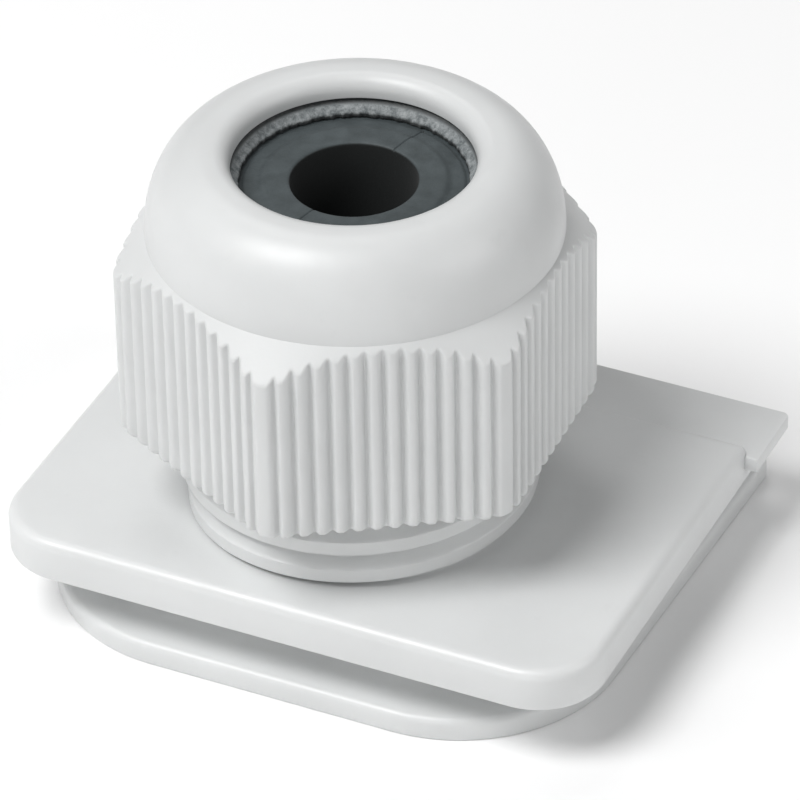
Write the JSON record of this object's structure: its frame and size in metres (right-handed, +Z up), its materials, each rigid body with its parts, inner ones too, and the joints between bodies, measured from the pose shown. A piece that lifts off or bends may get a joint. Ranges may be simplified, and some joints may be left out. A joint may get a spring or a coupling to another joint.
{
  "type": "cable gland",
  "caption": "Plastic cable gland on a slide-in flange plate: ribbed hexagonal dome nut, rubber seal and clamping fingers on a threaded spigot, over a plate with a wall slot on three sides.",
  "frame": {"origin": "centre of the underside of the part's box, in the plane of the inner flange's bottom face; the gland axis stands at x -0.55 mm, y -2.41 mm", "axes": "+Z up along the gland axis, out of the enclosure; +Y towards the thin rear tongue; +X along the plate's straight front edge, to the right seen from the front"},
  "size_m": [0.0398, 0.033, 0.0308],
  "materials": {
    "housing_plastic": "moulded light grey polyamide, satin gloss",
    "nut_plastic": "moulded light grey polyamide, satin gloss, ribbed flats",
    "ring_plastic": "natural plastic with a rubbed, mottled matt face",
    "seal_rubber": "matt slate grey moulded rubber"
  },
  "bodies": {
    "slide_plate": {"slide_plate": "housing_plastic", "seal": "seal_rubber"},
    "pressure_ring": {"pressure_ring": "ring_plastic"},
    "dome_nut": {"dome_nut": "nut_plastic"},
    "finger_01": {"finger_01": "housing_plastic"},
    "finger_02": {"finger_02": "housing_plastic"},
    "finger_03": {"finger_03": "housing_plastic"},
    "finger_04": {"finger_04": "housing_plastic"},
    "finger_05": {"finger_05": "housing_plastic"},
    "finger_06": {"finger_06": "housing_plastic"},
    "finger_07": {"finger_07": "housing_plastic"},
    "finger_08": {"finger_08": "housing_plastic"},
    "finger_09": {"finger_09": "housing_plastic"},
    "finger_10": {"finger_10": "housing_plastic"},
    "finger_11": {"finger_11": "housing_plastic"},
    "finger_12": {"finger_12": "housing_plastic"}
  },
  "joints": [
    {"name": "nut_travel", "type": "slide", "parent": "slide_plate", "child": "pressure_ring", "axis": [0, 0, 1], "range_m": [-0.00401, 0.00101], "deforming": ["seal"]},
    {"name": "nut_turn", "type": "hinge", "parent": "pressure_ring", "child": "dome_nut", "pos_m": [-0.00055, -0.00241, 0.018], "axis": [0, 0, 1], "range_deg": [-720, 180]},
    {"name": "finger_01_bend", "type": "hinge", "parent": "slide_plate", "child": "finger_01", "pos_m": [0.00788, -0.00241, 0.0189], "axis": [0, -1, 0], "range_deg": [-4.1, 16.3]},
    {"name": "finger_02_bend", "type": "hinge", "parent": "slide_plate", "child": "finger_02", "pos_m": [0.00675, 0.0018, 0.0189], "axis": [0.5, -0.866, 0], "range_deg": [-4.1, 16.3]},
    {"name": "finger_03_bend", "type": "hinge", "parent": "slide_plate", "child": "finger_03", "pos_m": [0.00366, 0.00489, 0.0189], "axis": [0.866, -0.5, 0], "range_deg": [-4.1, 16.3]},
    {"name": "finger_04_bend", "type": "hinge", "parent": "slide_plate", "child": "finger_04", "pos_m": [-0.00055, 0.00602, 0.0189], "axis": [1, 0, 0], "range_deg": [-4.1, 16.3]},
    {"name": "finger_05_bend", "type": "hinge", "parent": "slide_plate", "child": "finger_05", "pos_m": [-0.00476, 0.00489, 0.0189], "axis": [0.866, 0.5, 0], "range_deg": [-4.1, 16.3]},
    {"name": "finger_06_bend", "type": "hinge", "parent": "slide_plate", "child": "finger_06", "pos_m": [-0.00785, 0.0018, 0.0189], "axis": [0.5, 0.866, 0], "range_deg": [-4.1, 16.3]},
    {"name": "finger_07_bend", "type": "hinge", "parent": "slide_plate", "child": "finger_07", "pos_m": [-0.00898, -0.00241, 0.0189], "axis": [0, 1, 0], "range_deg": [-4.1, 16.3]},
    {"name": "finger_08_bend", "type": "hinge", "parent": "slide_plate", "child": "finger_08", "pos_m": [-0.00785, -0.00662, 0.0189], "axis": [-0.5, 0.866, 0], "range_deg": [-4.1, 16.3]},
    {"name": "finger_09_bend", "type": "hinge", "parent": "slide_plate", "child": "finger_09", "pos_m": [-0.00476, -0.00971, 0.0189], "axis": [-0.866, 0.5, 0], "range_deg": [-4.1, 16.3]},
    {"name": "finger_10_bend", "type": "hinge", "parent": "slide_plate", "child": "finger_10", "pos_m": [-0.00055, -0.01083, 0.0189], "axis": [-1, 0, 0], "range_deg": [-4.1, 16.3]},
    {"name": "finger_11_bend", "type": "hinge", "parent": "slide_plate", "child": "finger_11", "pos_m": [0.00366, -0.00971, 0.0189], "axis": [-0.866, -0.5, 0], "range_deg": [-4.1, 16.3]},
    {"name": "finger_12_bend", "type": "hinge", "parent": "slide_plate", "child": "finger_12", "pos_m": [0.00675, -0.00662, 0.0189], "axis": [-0.5, -0.866, 0], "range_deg": [-4.1, 16.3]}
  ],
  "couplings": [
    {"joint": "nut_travel", "follows": "nut_turn", "m_per_rad": 0.00031831},
    {"joint": "finger_01_bend", "follows": "nut_turn", "ratio": -0.022554},
    {"joint": "finger_02_bend", "follows": "nut_turn", "ratio": -0.022554},
    {"joint": "finger_03_bend", "follows": "nut_turn", "ratio": -0.022554},
    {"joint": "finger_04_bend", "follows": "nut_turn", "ratio": -0.022554},
    {"joint": "finger_05_bend", "follows": "nut_turn", "ratio": -0.022554},
    {"joint": "finger_06_bend", "follows": "nut_turn", "ratio": -0.022554},
    {"joint": "finger_07_bend", "follows": "nut_turn", "ratio": -0.022554},
    {"joint": "finger_08_bend", "follows": "nut_turn", "ratio": -0.022554},
    {"joint": "finger_09_bend", "follows": "nut_turn", "ratio": -0.022554},
    {"joint": "finger_10_bend", "follows": "nut_turn", "ratio": -0.022554},
    {"joint": "finger_11_bend", "follows": "nut_turn", "ratio": -0.022554},
    {"joint": "finger_12_bend", "follows": "nut_turn", "ratio": -0.022554}
  ]
}
